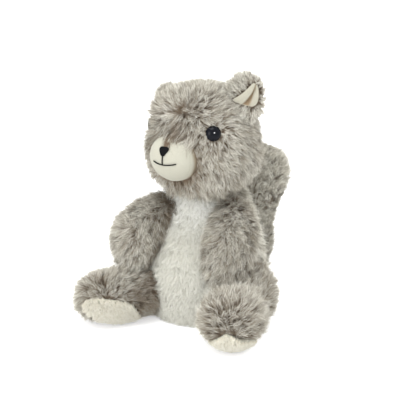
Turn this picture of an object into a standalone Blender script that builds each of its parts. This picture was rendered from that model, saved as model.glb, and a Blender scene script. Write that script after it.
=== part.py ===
import math

import bmesh
import bpy
import numpy as np

# A seated plush squirrel. Sizes in metres. It faces -Y, its left is +X, and its seat rests at z = 0.
# Every stuffed part has the outline of its combed fur.

SEAM_GAP = 0.0003
PAD_DEPTH = 0.007
PAD_SINK = 0.001

# Rows of the stuffed parts: centre x, y, z, then half width and half height of the section.
TORSO_ROWS = (
    (0.0, -0.002, -0.036, 0.060, 0.060),
    (0.0, -0.003, 0.014, 0.0650, 0.0645),
    (0.0, 0.000, 0.060, 0.0605, 0.059),
    (0.0, 0.003, 0.102, 0.052, 0.048),
    (0.0, 0.000, 0.148, 0.046, 0.042),
)
TORSO_POWER = 2.6
BELLY_MIDDLE = (0.555, math.radians(-90.0))
BELLY_REACH = (0.36, math.radians(62.0))
BELLY_SQUARENESS = 3.6
BELLY_TAPER = 0.10

HEAD_TURN = math.radians(-8.0)
HEAD_CENTRE = (0.002, -0.010, 0.180)
HEAD_HALF_WIDTH = 0.0537
HEAD_HALF_DEPTH = 0.0508
HEAD_HALF_HEIGHT = 0.0560
HEAD_SQUARENESS = 2.5
CHEEK_FULLNESS = 0.06

MUZZLE_FORWARD = 0.0437
MUZZLE_DROP = 0.0115
MUZZLE_HALF_WIDTH = 0.0260
MUZZLE_HALF_DEPTH = 0.0205
MUZZLE_HALF_HEIGHT = 0.0222

NOSE_HALF_WIDTH = 0.0052
NOSE_HALF_HEIGHT = 0.0044
NOSE_RISE = 0.0098
FACE_ASIDE = 0.0016
STITCH_THICKNESS = 0.0012
SMILE_HALF_WIDTH = 0.0125
SMILE_LIFT = 0.0018
SMILE_RISE = -0.0030
SMILE_ASIDE = 0.0026

EYE_RADIUS = 0.0074
EYE_HEIGHT = 0.0060
EYE_SIDE_ANGLE = math.radians(48.5)
EYE_RISE = 0.285
EYE_SINK = 0.0058
SHANK_RADIUS = 0.0022
SHANK_LENGTH = 0.018
WASHER_RADIUS = 0.0085
WASHER_THICKNESS = 0.0016
WASHER_DEPTH = 0.012

# Ear centre lines in the head's frame: left, forward and up from the head's centre.
EAR_LEFT_ROWS = (
    (0.036, -0.002, 0.024, 0.019, 0.010),
    (0.046, -0.003, 0.044, 0.0215, 0.010),
    (0.055, -0.004, 0.067, 0.016, 0.008),
)
EAR_RIGHT_ROWS = (
    (-0.034, -0.004, 0.014, 0.019, 0.010),
    (-0.046, -0.004, 0.032, 0.0205, 0.010),
    (-0.056, -0.002, 0.045, 0.016, 0.008),
)
EAR_POWER = 2.3
EAR_SWING = math.radians(12.0)
EAR_RIGHT_DROOP = math.radians(25.0)
# Lining corners: along the ear and round it, as shares of the reach from the middle.
LINING_LEFT_MIDDLE = (0.64, math.radians(112.0))
LINING_LEFT_CORNERS = ((-0.98, -0.98), (0.99, 0.0), (0.90, 0.62), (-0.22, 0.72), (-0.62, 0.46))
LINING_RIGHT_MIDDLE = (0.62, math.radians(92.0))
LINING_RIGHT_CORNERS = ((-0.88, 0.50), (0.86, -0.02), (0.72, -0.50), (-0.20, -0.56), (-0.66, -0.30))
LINING_REACH = (0.235, math.radians(44.0))
CORNER_SHARPNESS = 7.0
LINING_DEPTH = 0.0022

ARM_LEFT_ROWS = (
    (0.037, -0.012, 0.126, 0.018, 0.020),
    (0.046, -0.030, 0.104, 0.025, 0.023),
    (0.049, -0.044, 0.079, 0.026, 0.0245),
    (0.047, -0.056, 0.046, 0.025, 0.022),
)
ARM_RIGHT_ROWS = (
    (-0.019, -0.018, 0.119, 0.021, 0.022),
    (-0.042, -0.033, 0.097, 0.0265, 0.026),
    (-0.053, -0.046, 0.075, 0.0305, 0.0265),
    (-0.056, -0.052, 0.043, 0.024, 0.022),
)
LEG_LEFT_ROWS = (
    (0.046, 0.012, 0.032, 0.0345, 0.036),
    (0.056, -0.020, 0.032, 0.0345, 0.035),
    (0.065, -0.052, 0.028, 0.0285, 0.029),
    (0.075, -0.084, 0.030, 0.0340, 0.0315),
    (0.083, -0.110, 0.037, 0.0330, 0.031),
)
LEG_RIGHT_ROWS = (
    (-0.032, 0.000, 0.025, 0.030, 0.028),
    (-0.048, -0.052, 0.025, 0.031, 0.028),
    (-0.068, -0.085, 0.026, 0.031, 0.028),
    (-0.090, -0.102, 0.031, 0.0265, 0.0255),
)
LEG_POWER = 2.4
# Sole corners: along the leg and round it, as shares of the reach from the middle.
SOLE_LEFT_MIDDLE = (0.80, math.radians(-85.0))
SOLE_LEFT_REACH = (0.19, math.radians(52.0))
SOLE_LEFT_CORNERS = ((0.98, 0.45), (0.98, -0.45), (0.0, -1.0), (-0.95, -0.7), (-0.95, 0.7), (0.0, 1.0))
SOLE_RIGHT_MIDDLE = (0.66, math.radians(-18.0))
SOLE_RIGHT_REACH = (0.245, math.radians(40.0))
SOLE_RIGHT_CORNERS = ((0.90, 0.62), (0.42, 0.98), (-0.62, 0.56), (-1.0, -0.72), (0.0, -0.80), (0.86, -0.1))

TAIL_ROWS = (
    (0.0, 0.070, -0.004, 0.034, 0.022),
    (0.0, 0.078, 0.038, 0.037, 0.023),
    (0.0, 0.080, 0.078, 0.034, 0.023),
    (0.0, 0.100, 0.113, 0.044, 0.031),
    (0.0, 0.110, 0.157, 0.045, 0.028),
)

COLOURS = {
    "grey_fur": (0.33, 0.31, 0.27, 1.0),
    "white_plush": (0.72, 0.72, 0.66, 1.0),
    "cream_velour": (0.74, 0.70, 0.58, 1.0),
    "black_thread": (0.012, 0.012, 0.012, 1.0),
    "eye_gloss": (0.01, 0.01, 0.014, 1.0),
    "washer": (0.60, 0.60, 0.58, 1.0),
}


def unit(vector):
    vector = np.asarray(vector, float)
    return vector / np.linalg.norm(vector, axis=-1, keepdims=True)


def eased(rows, places):
    """Rows read at places from 0 to 1, with a smooth curve through every row."""
    rows = np.asarray(rows, float)
    spans = len(rows) - 1
    at = np.clip(places, 0.0, 1.0) * spans
    low = np.minimum(at.astype(int), spans - 1)
    t = (at - low)[:, None]
    before = rows[np.maximum(low - 1, 0)]
    after = rows[np.minimum(low + 2, spans)]
    a, b = rows[low], rows[low + 1]
    return a + 0.5 * t * (
        (b - before) + t * ((2 * before - 5 * a + 4 * b - after) + t * (3 * (a - b) + after - before))
    )


def new_object(name, points, faces, colour, smooth=True):
    mesh = bpy.data.meshes.new(name)
    points = [tuple(p) for p in np.asarray(points, float)]
    mesh.from_pydata(points, [], [tuple(int(i) for i in f) for f in faces])
    tidy = bmesh.new()
    tidy.from_mesh(mesh)
    bmesh.ops.triangulate(tidy, faces=tidy.faces)
    bmesh.ops.recalc_face_normals(tidy, faces=tidy.faces)
    tidy.to_mesh(mesh)
    tidy.free()
    mesh.polygons.foreach_set("use_smooth", [smooth] * len(mesh.polygons))
    made = bpy.data.objects.new(name, mesh)
    bpy.context.collection.objects.link(made)
    if colour:
        material = bpy.data.materials.new(name)
        material.use_nodes = True
        shader = material.node_tree.nodes["Principled BSDF"]
        shader.inputs["Base Color"].default_value = COLOURS[colour]
        shader.inputs["Roughness"].default_value = 0.2 if colour == "eye_gloss" else 0.85
        mesh.materials.append(material)
    return made


def rows_to_object(name, rings, first, last, colour):
    """Closed body through equal rings of points, ended by a point at each end."""
    count, around = rings.shape[:2]
    points = np.concatenate([rings.reshape(-1, 3), [first, last]])
    faces = []
    for i in range(count - 1):
        for j in range(around):
            k = (j + 1) % around
            faces.append((i * around + j, i * around + k, (i + 1) * around + k, (i + 1) * around + j))
    start, end = count * around, count * around + 1
    for j in range(around):
        k = (j + 1) % around
        faces.append((start, k, j))
        faces.append((end, (count - 1) * around + j, (count - 1) * around + k))
    return new_object(name, points, faces, colour)


def surface(rows, up, power, places, turns, floor=False):
    """Points of a stuffed part at places along its centre line and turns round it."""
    places, turns = np.broadcast_arrays(np.asarray(places, float), np.asarray(turns, float))
    shape, flat = places.shape, places.ravel()
    read = eased(rows, flat)
    step = 0.01
    ahead = unit(eased(rows, flat + step)[:, :3] - eased(rows, flat - step)[:, :3])
    side = unit(np.cross(up, ahead))
    lift = np.cross(ahead, side)
    swell = (1 - np.abs(2 * flat - 1) ** power) ** (1 / power)
    turn = turns.ravel()[:, None]
    points = (
        read[:, :3]
        + side * (read[:, 3] * swell)[:, None] * np.cos(turn)
        + lift * (read[:, 4] * swell)[:, None] * np.sin(turn)
    )
    if floor:
        points[:, 2] = np.maximum(points[:, 2], 0.0)
    return points.reshape(*shape, 3)


def raised(rows, up, power, floor=False):
    """Gives the function that reads a stuffed part's surface, proud of it by a distance."""

    def at(place, turn, proud):
        step = 0.004
        point = surface(rows, up, power, place, turn, floor)
        along = surface(rows, up, power, place + step, turn) - surface(rows, up, power, place - step, turn)
        across = surface(rows, up, power, place, turn + step) - surface(rows, up, power, place, turn - step)
        return point + unit(np.cross(across, along)) * proud

    return at


def stuffed(name, rows, up, colour, rings=14, around=24, power=2.2, floor=False):
    """Stuffed part along a curved line of centres, with oval sections and round ends."""
    places = (1 - np.cos(np.pi * np.arange(1, rings) / rings)) / 2
    turns = 2 * np.pi * np.arange(around) / around
    ring = surface(rows, up, power, places[:, None], turns[None], floor)
    ends = eased(rows, np.array([0.0, 1.0]))[:, :3]
    if floor:
        ends[:, 2] = np.maximum(ends[:, 2], 0.0)
    return rows_to_object(name, ring, ends[0], ends[1], colour)


def ball_point(direction, sizes, power, fuller=0.0):
    """Point of a rounded body along a direction; fuller widens it below the middle."""
    local = direction * (np.abs(direction / sizes) ** power).sum(-1, keepdims=True) ** (-1 / power)
    height = np.clip(local[..., 2:] / sizes[2], -1, 1)
    below = np.clip(-height, 0, 1)
    width = 1 + fuller * (4 * below * (1 - below) - np.clip(height, 0, 1))
    return np.concatenate([local[..., :2] * width, local[..., 2:]], -1)


def ball(name, centre, axes, sizes, power, colour, rings=14, around=28, fuller=0.0):
    theta = (np.pi * np.arange(1, rings) / rings)[:, None]
    turn = (2 * np.pi * np.arange(around) / around)[None]
    direction = [np.sin(theta) * np.cos(turn), np.sin(theta) * np.sin(turn), np.cos(theta) + 0 * turn]
    direction = np.stack(direction, -1)
    local = ball_point(direction, np.asarray(sizes), power, fuller)
    ends = np.array([[0, 0, sizes[2]], [0, 0, -sizes[2]]])
    ring, ends = centre + local @ axes, centre + ends @ axes
    return rows_to_object(name, ring, ends[0], ends[1], colour)


def head_axes():
    """Left, forward and up of the turned head."""
    c, s = math.cos(HEAD_TURN), math.sin(HEAD_TURN)
    return np.array([[c, s, 0.0], [s, -c, 0.0], [0.0, 0.0, 1.0]])


def in_head(local):
    return np.asarray(HEAD_CENTRE) + np.asarray(local, float) @ head_axes()


def muzzle_point(across, rise, proud=0.0):
    """Point on the front of the muzzle, across and above its centre, and proud of it."""
    sizes = np.array([MUZZLE_HALF_WIDTH, MUZZLE_HALF_DEPTH, MUZZLE_HALF_HEIGHT])
    across, rise = np.asarray(across, float), np.asarray(rise, float)
    deep = sizes[1] * np.sqrt(np.maximum(1 - (across / sizes[0]) ** 2 - (rise / sizes[2]) ** 2, 0))
    local = np.stack([across, deep, rise], -1)
    normal = unit(local / sizes**2)
    return in_head(local + normal * proud + np.array([0, MUZZLE_FORWARD, -MUZZLE_DROP]))


def pad(name, at, middle, reach, inner, outer, colour, outline=None, rings=3, around=24, between=None):
    """Closed pad on a surface, inside an outline round a middle, from one distance off it to another."""
    turn = 2 * np.pi * np.arange(around) / around
    shape = np.stack([np.cos(turn), np.sin(turn)], -1) if outline is None else outline(turn)
    spread = (np.arange(1, rings + 1) / rings)[:, None, None] * shape[None]
    place, angle = middle[0] + reach[0] * spread[..., 0], middle[1] + reach[1] * spread[..., 1]
    low, high = at(place.ravel(), angle.ravel(), inner), at(place.ravel(), angle.ravel(), outer)
    low, high = low.reshape(rings, around, 3), high.reshape(rings, around, 3)
    rim = [] if between is None else [at(place[-1], angle[-1], between)[None]]
    sides = np.concatenate([low, *rim, high[::-1]])
    first = at(np.array([middle[0]]), np.array([middle[1]]), inner)[0]
    last = at(np.array([middle[0]]), np.array([middle[1]]), outer)[0]
    return rows_to_object(name, sides, first, last, colour)


def triangle_outline(turn):
    """Rounded triangle that points down."""
    size = 1 / (1 - 0.20 * np.cos(3 * (turn + np.pi / 2)))
    size = size / size.max() * 1.08
    return np.stack([size * np.cos(turn), size * np.sin(turn)], -1)


def belly_outline(turn):
    """Rounded panel, broad below and a little narrower at the chest."""
    c, s = np.cos(turn), np.sin(turn)
    size = (np.abs(c) ** BELLY_SQUARENESS + np.abs(s) ** BELLY_SQUARENESS) ** (-1 / BELLY_SQUARENESS)
    along = size * c
    return np.stack([along, size * s * (1 - BELLY_TAPER * along)], -1)


def corner_outline(corners):
    """Rounded polygon: in each direction, a soft least of the distances to the edges."""
    corners = np.asarray(corners, float)
    edge = np.roll(corners, -1, axis=0) - corners
    normal = unit(np.stack([edge[:, 1], -edge[:, 0]], -1))
    distance = (normal * corners).sum(-1)
    normal, distance = normal * np.sign(distance)[:, None], np.abs(distance)

    def outline(turn):
        way = np.stack([np.cos(turn), np.sin(turn)], -1)
        facing = np.maximum(way @ normal.T / distance, 0)
        return way * (facing**CORNER_SHARPNESS).sum(-1, keepdims=True) ** (-1 / CORNER_SHARPNESS)

    return outline


def turned(name, profile, base, axis, colour, around=20):
    """Round body: pairs of radius and height along an axis; the first and last radius are 0."""
    axis = unit(axis)
    side = unit(np.cross(axis, (0.0, 0.0, 1.0)))
    other = np.cross(axis, side)
    turn = 2 * np.pi * np.arange(around) / around
    spoke = side[None] * np.cos(turn)[:, None] + other[None] * np.sin(turn)[:, None]
    middle = np.asarray(profile[1:-1], float)
    rings = base + spoke[None] * middle[:, 0, None, None] + axis * middle[:, 1, None, None]
    return rows_to_object(name, rings, base + axis * profile[0][1], base + axis * profile[-1][1], colour)


def ring_washer(name, base, axis, hole, radius, low, high, colour, around=18):
    """Flat ring round an axis."""
    axis = unit(axis)
    side = unit(np.cross(axis, (0.0, 0.0, 1.0)))
    other = np.cross(axis, side)
    turn = 2 * np.pi * np.arange(around) / around
    spoke = side[None] * np.cos(turn)[:, None] + other[None] * np.sin(turn)[:, None]
    section = ((hole, low), (radius, low), (radius, high), (hole, high))
    points = np.concatenate([base + spoke * r + axis * h for r, h in section])
    faces = []
    for i in range(4):
        for j in range(around):
            k, n = (j + 1) % around, ((i + 1) % 4) * around
            faces.append((i * around + j, i * around + k, n + k, n + j))
    return new_object(name, points, faces, colour, smooth=False)


def thread(name, points, radius, colour, around=6):
    """Round thread along a line of points, with blunt ends."""
    points = np.asarray(points, float)
    ahead = unit(np.gradient(points, axis=0))
    side = unit(np.cross(ahead, in_head((0, 1, 0)) - in_head((0, 0, 0))))
    other = np.cross(ahead, side)
    turn = 2 * np.pi * np.arange(around) / around
    ring = points[:, None] + radius * (
        side[:, None] * np.cos(turn)[None, :, None] + other[:, None] * np.sin(turn)[None, :, None]
    )
    first, last = points[0] - ahead[0] * radius * 0.6, points[-1] + ahead[-1] * radius * 0.6
    return rows_to_object(name, ring, first, last, colour)


def swollen(item, gap):
    """The item with every point moved out along its normal."""
    mesh = item.data
    normals = np.zeros(len(mesh.vertices) * 3)
    mesh.vertices.foreach_get("normal", normals)
    points = np.zeros(len(mesh.vertices) * 3)
    mesh.vertices.foreach_get("co", points)
    mesh.vertices.foreach_set("co", points + normals * gap)
    return item


def grown(source, gap=SEAM_GAP * 1.1):
    """Hidden copy of a form, larger by the gap, for cutting its neighbours."""
    copy = source.copy()
    copy.data = source.data.copy()
    copy.name = source.name + "_cutter"
    copy.data.materials.clear()
    bpy.context.collection.objects.link(copy)
    return hidden(swollen(copy, gap))


def hidden(cutter):
    cutter.hide_render = True
    cutter.display_type = "WIRE"
    return cutter


def change(target, other, operation="DIFFERENCE"):
    step = target.modifiers.new(operation.lower() + "_" + other.name, "BOOLEAN")
    step.operation = operation
    step.solver = "EXACT"
    step.object = other


def eye_parts(side, head):
    """Safety eye with its shank, its lock washer, and their room in the head."""
    across = math.sin(EYE_SIDE_ANGLE) * (1 if side == "left" else -1)
    sizes = np.array([HEAD_HALF_WIDTH, HEAD_HALF_DEPTH, HEAD_HALF_HEIGHT])
    towards = unit(np.array([across, math.cos(EYE_SIDE_ANGLE), EYE_RISE]))
    spot = ball_point(towards, sizes, HEAD_SQUARENESS, CHEEK_FULLNESS)
    around = [
        ball_point(unit(towards + d), sizes, HEAD_SQUARENESS, CHEEK_FULLNESS)
        for d in np.array([(0.01, 0, 0), (-0.01, 0, 0), (0, 0, 0.01), (0, 0, -0.01)])
    ]
    normal = unit(np.cross(around[0] - around[1], around[2] - around[3]))
    normal = normal if normal @ towards > 0 else -normal
    axis = normal @ head_axes()
    base = in_head(spot) - axis * EYE_SINK
    dome = [
        (EYE_RADIUS * math.cos(math.radians(a)), 0.0008 + (EYE_HEIGHT - 0.0008) * math.sin(math.radians(a)))
        for a in range(0, 90, 18)
    ]
    profile = [(0, -SHANK_LENGTH), (SHANK_RADIUS, -SHANK_LENGTH), (SHANK_RADIUS, 0.0)]
    profile += [(EYE_RADIUS - 0.0005, 0.0)]
    turned("eye_" + side, profile + dome + [(0, EYE_HEIGHT)], base, axis, "eye_gloss", around=20)
    low, high = -WASHER_DEPTH - WASHER_THICKNESS, -WASHER_DEPTH
    hole = SHANK_RADIUS + SEAM_GAP
    ring_washer("eye_washer_" + side, base, axis, hole, WASHER_RADIUS, low, high, "washer")
    bore, end = SHANK_RADIUS + SEAM_GAP, -SHANK_LENGTH - SEAM_GAP
    pocket, room = WASHER_RADIUS + SEAM_GAP, EYE_RADIUS + SEAM_GAP
    floor, roof = low - SEAM_GAP, high + SEAM_GAP
    cut = [(0, end), (bore, end), (bore, floor), (pocket, floor), (pocket, roof), (bore, roof)]
    cut += [(bore, -SEAM_GAP), (room, -SEAM_GAP), (room, 0.012), (0, 0.012)]
    change(head, hidden(turned("eye_room_" + side, cut, base, axis, None, around=20)))


def ear_parts(side, rows, middle, corners, axes, grown_head):
    """Fur ear with its lining let into the front."""
    swing = EAR_SWING if side == "left" else -EAR_SWING
    droop = 0.0 if side == "left" else EAR_RIGHT_DROOP
    facing = np.array([math.sin(swing), math.cos(swing), -math.sin(droop)]) @ axes
    placed = [tuple(in_head(row[:3])) + tuple(row[3:]) for row in rows]
    ear = stuffed("ear_" + side, placed, facing, "grey_fur", 9, 16, EAR_POWER)
    at = raised(placed, facing, EAR_POWER)
    outline = corner_outline(corners)
    name = "ear_lining_" + side
    lining = pad(name, at, middle, LINING_REACH, -LINING_DEPTH, 0.0, "cream_velour", outline, 2, 20)
    room = pad(name + "_room", at, middle, LINING_REACH, -LINING_DEPTH, 0.004, None, outline, 2, 20, 0.0)
    change(ear, hidden(swollen(room, 1.4 * SEAM_GAP)))
    change(ear, grown_head)
    change(lining, grown_head)


def let_in(name, host, at, middle, reach, colour, outline=None, rings=3, around=24):
    """Pad of shorter pile let into its host."""
    place = (at, middle, reach, -PAD_DEPTH)
    made = pad(name, *place, -PAD_SINK, colour, outline, rings, around)
    room = pad(name + "_room", *place, 0.006, None, outline, rings, around, -PAD_SINK)
    change(host, hidden(swollen(room, 1.4 * SEAM_GAP)))
    return made


def face_parts():
    """Stitched nose and mouth on the front of the muzzle."""

    def front(across, rise, proud):
        return muzzle_point(across, rise, proud)

    pad(
        "nose",
        front,
        (FACE_ASIDE, NOSE_RISE),
        (NOSE_HALF_WIDTH, NOSE_HALF_HEIGHT),
        SEAM_GAP,
        SEAM_GAP + STITCH_THICKNESS,
        "black_thread",
        triangle_outline,
        rings=2,
        around=18,
    )
    radius = STITCH_THICKNESS / 2
    across = np.linspace(-SMILE_HALF_WIDTH, SMILE_HALF_WIDTH, 13)
    rise = SMILE_RISE + SMILE_LIFT * (across / SMILE_HALF_WIDTH) ** 2
    line = muzzle_point(SMILE_ASIDE + across, rise, SEAM_GAP + radius)
    mouth = thread("mouth_stitch", line, radius, "black_thread")
    top = NOSE_RISE - NOSE_HALF_HEIGHT * 1.08 - SEAM_GAP - radius
    rise = np.linspace(top, SMILE_RISE, 5)
    line = muzzle_point(FACE_ASIDE + 0 * rise, rise, SEAM_GAP + radius)
    upright = thread("upright", line, radius * 0.96, None)
    change(mouth, hidden(upright), "UNION")


def build():
    for item in list(bpy.data.objects):
        bpy.data.objects.remove(item)

    axes = head_axes()
    up, back = (0.0, 0.0, 1.0), (0.0, 1.0, 0.0)
    torso = stuffed("torso", TORSO_ROWS, back, "grey_fur", 13, 24, TORSO_POWER, floor=True)
    head_sizes = (HEAD_HALF_WIDTH, HEAD_HALF_DEPTH, HEAD_HALF_HEIGHT)
    head = ball("head", HEAD_CENTRE, axes, head_sizes, HEAD_SQUARENESS, "grey_fur", 14, 26, CHEEK_FULLNESS)
    muzzle_sizes = (MUZZLE_HALF_WIDTH, MUZZLE_HALF_DEPTH, MUZZLE_HALF_HEIGHT)
    muzzle_centre = in_head((0, MUZZLE_FORWARD, -MUZZLE_DROP))
    muzzle = ball("muzzle", muzzle_centre, axes, muzzle_sizes, 2.0, "cream_velour", 10, 22)
    arm_left = stuffed("arm_left", ARM_LEFT_ROWS, back, "grey_fur", 11, 18)
    arm_right = stuffed("arm_right", ARM_RIGHT_ROWS, back, "grey_fur", 11, 18)
    leg_left = stuffed("leg_left", LEG_LEFT_ROWS, up, "grey_fur", 11, 20, LEG_POWER, floor=True)
    leg_right = stuffed("leg_right", LEG_RIGHT_ROWS, up, "grey_fur", 11, 20, LEG_POWER, floor=True)
    tail = stuffed("tail", TAIL_ROWS, back, "grey_fur", 13, 20, floor=True)

    grown_torso, grown_head = grown(torso), grown(head)
    grown_legs = {"left": grown(leg_left), "right": grown(leg_right)}
    belly_at = raised(TORSO_ROWS, back, TORSO_POWER, floor=True)
    place = (belly_at, BELLY_MIDDLE, BELLY_REACH)
    belly = let_in("belly_panel", torso, *place, "white_plush", belly_outline, 4, 28)
    grown_belly = grown(belly)
    change(torso, grown_head)
    change(belly, grown_head)
    change(muzzle, grown_head)
    change(tail, grown_torso)
    change(tail, grown_head)
    for side, arm, leg in (("left", arm_left, leg_left), ("right", arm_right, leg_right)):
        change(arm, grown_torso)
        change(arm, grown_belly)
        change(arm, grown_head)
        change(arm, grown_legs[side])
        change(leg, grown_torso)
        change(leg, grown_belly)

    left_at = raised(LEG_LEFT_ROWS, up, LEG_POWER, floor=True)
    right_at = raised(LEG_RIGHT_ROWS, up, LEG_POWER, floor=True)
    for side, leg, at, middle, reach, corners in (
        ("left", leg_left, left_at, SOLE_LEFT_MIDDLE, SOLE_LEFT_REACH, SOLE_LEFT_CORNERS),
        ("right", leg_right, right_at, SOLE_RIGHT_MIDDLE, SOLE_RIGHT_REACH, SOLE_RIGHT_CORNERS),
    ):
        outline = corner_outline(corners)
        let_in("sole_" + side, leg, at, middle, reach, "cream_velour", outline, 3, 24)
    ear_parts("left", EAR_LEFT_ROWS, LINING_LEFT_MIDDLE, LINING_LEFT_CORNERS, axes, grown_head)
    ear_parts("right", EAR_RIGHT_ROWS, LINING_RIGHT_MIDDLE, LINING_RIGHT_CORNERS, axes, grown_head)
    eye_parts("left", head)
    eye_parts("right", head)
    face_parts()


build()
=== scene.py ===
import math

import bpy
import numpy as np
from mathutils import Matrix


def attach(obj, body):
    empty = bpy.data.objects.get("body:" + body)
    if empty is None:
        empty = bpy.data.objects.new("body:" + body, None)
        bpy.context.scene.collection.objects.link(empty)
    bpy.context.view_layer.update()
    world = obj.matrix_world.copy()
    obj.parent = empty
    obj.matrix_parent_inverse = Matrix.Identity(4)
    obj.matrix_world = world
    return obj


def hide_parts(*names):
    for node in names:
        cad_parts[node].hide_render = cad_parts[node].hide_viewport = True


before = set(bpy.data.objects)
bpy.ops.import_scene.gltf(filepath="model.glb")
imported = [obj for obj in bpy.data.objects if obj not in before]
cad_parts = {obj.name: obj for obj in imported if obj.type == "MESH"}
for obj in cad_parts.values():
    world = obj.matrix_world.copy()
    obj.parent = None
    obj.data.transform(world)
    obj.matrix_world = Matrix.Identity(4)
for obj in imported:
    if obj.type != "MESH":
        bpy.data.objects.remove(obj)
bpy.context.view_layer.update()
print("frame loaded")

up, back = (0.0, 0.0, 1.0), (0.0, 1.0, 0.0)
clothFloor, hairFloor = 0.0006, 0.0003  # the lowest heights of cloth and hair
# heights of a pad's back and front off the fur's outline
layers = dict(lining=(-0.0035, 0.0002), belly=(-0.0065, -0.0035), sole=(-0.0065, -0.0012))


def norm(v, keep=False):
    # lengths of vectors
    return np.linalg.norm(v, axis=-1, keepdims=keep)


def unit(v):
    # vectors over their lengths
    v = np.asarray(v, float)
    return v / np.maximum(norm(v, True), 1e-12)


def smooth(low, high, x):
    # 0 below low, 1 above high, and a soft step between
    t = np.clip((x - low) / (high - low), 0, 1)
    return t * t * (3 - 2 * t)


def bell(x, width):
    # 1 at 0, falling to 1/e one width away
    return np.exp(-(x / width) ** 2)


def softNoise(points, size, seed, layers=5):
    # sum of a few sine waves in random directions, about -1 to 1, with features of the given size
    rng = np.random.default_rng(seed)
    total = np.zeros(len(points))
    for _ in range(layers):
        direction = unit(rng.normal(size=3)) * (2 * math.pi / size) * rng.uniform(0.6, 1.5)
        total += np.sin(points @ direction + rng.uniform(0, 6.28))
    return total / math.sqrt(layers * 0.5) / 2


# the stuffed shapes in metres; each tube has rows of centre x, y, z, half width and half height, which give
# the outline of its combed fur
shapes = {
    "torso": dict(kind="tube", rows=(
        (0.0, -0.002, -0.036, 0.060, 0.060), (0.0, -0.003, 0.014, 0.0650, 0.0645),
        (0.0, 0.000, 0.060, 0.0605, 0.059), (0.0, 0.003, 0.102, 0.052, 0.048),
        (0.0, 0.000, 0.148, 0.046, 0.042)), up=back, power=2.6),
    "armLeft": dict(kind="tube", rows=(
        (0.037, -0.012, 0.126, 0.018, 0.020), (0.046, -0.030, 0.104, 0.025, 0.023),
        (0.049, -0.044, 0.079, 0.026, 0.0245), (0.047, -0.056, 0.046, 0.025, 0.022)), up=back, power=2.2),
    "armRight": dict(kind="tube", rows=(
        (-0.019, -0.018, 0.119, 0.021, 0.022), (-0.042, -0.033, 0.097, 0.0265, 0.026),
        (-0.053, -0.046, 0.075, 0.0305, 0.0265), (-0.056, -0.052, 0.043, 0.024, 0.022)), up=back, power=2.2),
    "legLeft": dict(kind="tube", rows=(
        (0.046, 0.012, 0.032, 0.0345, 0.036), (0.056, -0.020, 0.032, 0.0345, 0.035),
        (0.065, -0.052, 0.028, 0.0285, 0.029), (0.075, -0.084, 0.030, 0.0340, 0.0315),
        (0.083, -0.110, 0.037, 0.0330, 0.031)), up=up, power=2.4),
    "legRight": dict(kind="tube", rows=(
        (-0.032, 0.000, 0.025, 0.030, 0.028), (-0.048, -0.052, 0.025, 0.031, 0.028),
        (-0.068, -0.085, 0.026, 0.031, 0.028), (-0.090, -0.102, 0.031, 0.0265, 0.0255)), up=up, power=2.4),
    "tail": dict(kind="tube", rows=(
        (0.0, 0.070, -0.004, 0.034, 0.022), (0.0, 0.078, 0.038, 0.037, 0.023), (0.0, 0.080, 0.078, 0.034, 0.023),
        (0.0, 0.100, 0.113, 0.044, 0.031), (0.0, 0.110, 0.157, 0.045, 0.028)), up=back, power=2.2),
}
headShape = dict(turn=math.radians(-8.0), centre=(0.002, -0.010, 0.180), sizes=(0.0537, 0.0508, 0.0560), power=2.5,
                 fuller=0.06)
muzzleShape = dict(forward=0.0437, drop=0.0115, sizes=(0.0260, 0.0205, 0.0222))
earShapes = {
    "earLeft": dict(rows=((0.036, -0.002, 0.024, 0.019, 0.010), (0.046, -0.003, 0.044, 0.0215, 0.010),
                          (0.055, -0.004, 0.067, 0.016, 0.008)), swing=math.radians(12), droop=0.0),
    "earRight": dict(rows=((-0.034, -0.004, 0.014, 0.019, 0.010), (-0.046, -0.004, 0.032, 0.0205, 0.010),
                           (-0.056, -0.002, 0.045, 0.016, 0.008)), swing=math.radians(-12),
                     droop=math.radians(25)),
}
cosTurn, sinTurn = math.cos(headShape["turn"]), math.sin(headShape["turn"])
headAxes = np.array([[cosTurn, sinTurn, 0], [sinTurn, -cosTurn, 0], [0, 0, 1.0]])  # left, forward, up
headCentre = np.array(headShape["centre"])
muzzleMiddle = np.array([0, muzzleShape["forward"], -muzzleShape["drop"]])  # in the head's frame
muzzleSizes = np.array(muzzleShape["sizes"])


def inHead(local):
    # from the head's frame to the world
    return headCentre + np.asarray(local, float) @ headAxes


def toHead(points):
    # from the world to the head's frame
    return (points - headCentre) @ headAxes.T


for name, ear in earShapes.items():
    facing = np.array([math.sin(ear["swing"]), math.cos(ear["swing"]), -math.sin(ear["droop"])]) @ headAxes
    rows = tuple(tuple(inHead(r[:3])) + tuple(r[3:]) for r in ear["rows"])
    shapes[name] = dict(kind="tube", rows=rows, up=tuple(facing), power=2.3)
shapes["head"] = dict(kind="ball")


def easedRows(rows, places):
    # smooth curve through evenly spaced rows, read at places from 0 to 1
    rows = np.asarray(rows, float)
    spans = len(rows) - 1
    at = np.clip(places, 0, 1) * spans
    low = np.minimum(at.astype(int), spans - 1)
    t = (at - low)[:, None]
    before, after = rows[np.maximum(low - 1, 0)], rows[np.minimum(low + 2, spans)]
    a, b = rows[low], rows[low + 1]
    bend = 2 * before - 5 * a + 4 * b - after
    return a + 0.5 * t * ((b - before) + t * (bend + t * (3 * (a - b) + after - before)))


def tubeFrame(shape, places):
    # centre, side, lift, heading and the two half sizes of the oval section at each place
    read = easedRows(shape["rows"], places)
    step = 0.01
    ahead = unit(easedRows(shape["rows"], places + step)[:, :3] - easedRows(shape["rows"], places - step)[:, :3])
    side = unit(np.cross(shape["up"], ahead))
    lift = np.cross(ahead, side)
    swell = (1 - np.abs(2 * places - 1) ** shape["power"]) ** (1 / shape["power"])
    return read[:, :3], side, lift, ahead, read[:, 3] * swell, read[:, 4] * swell


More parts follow.
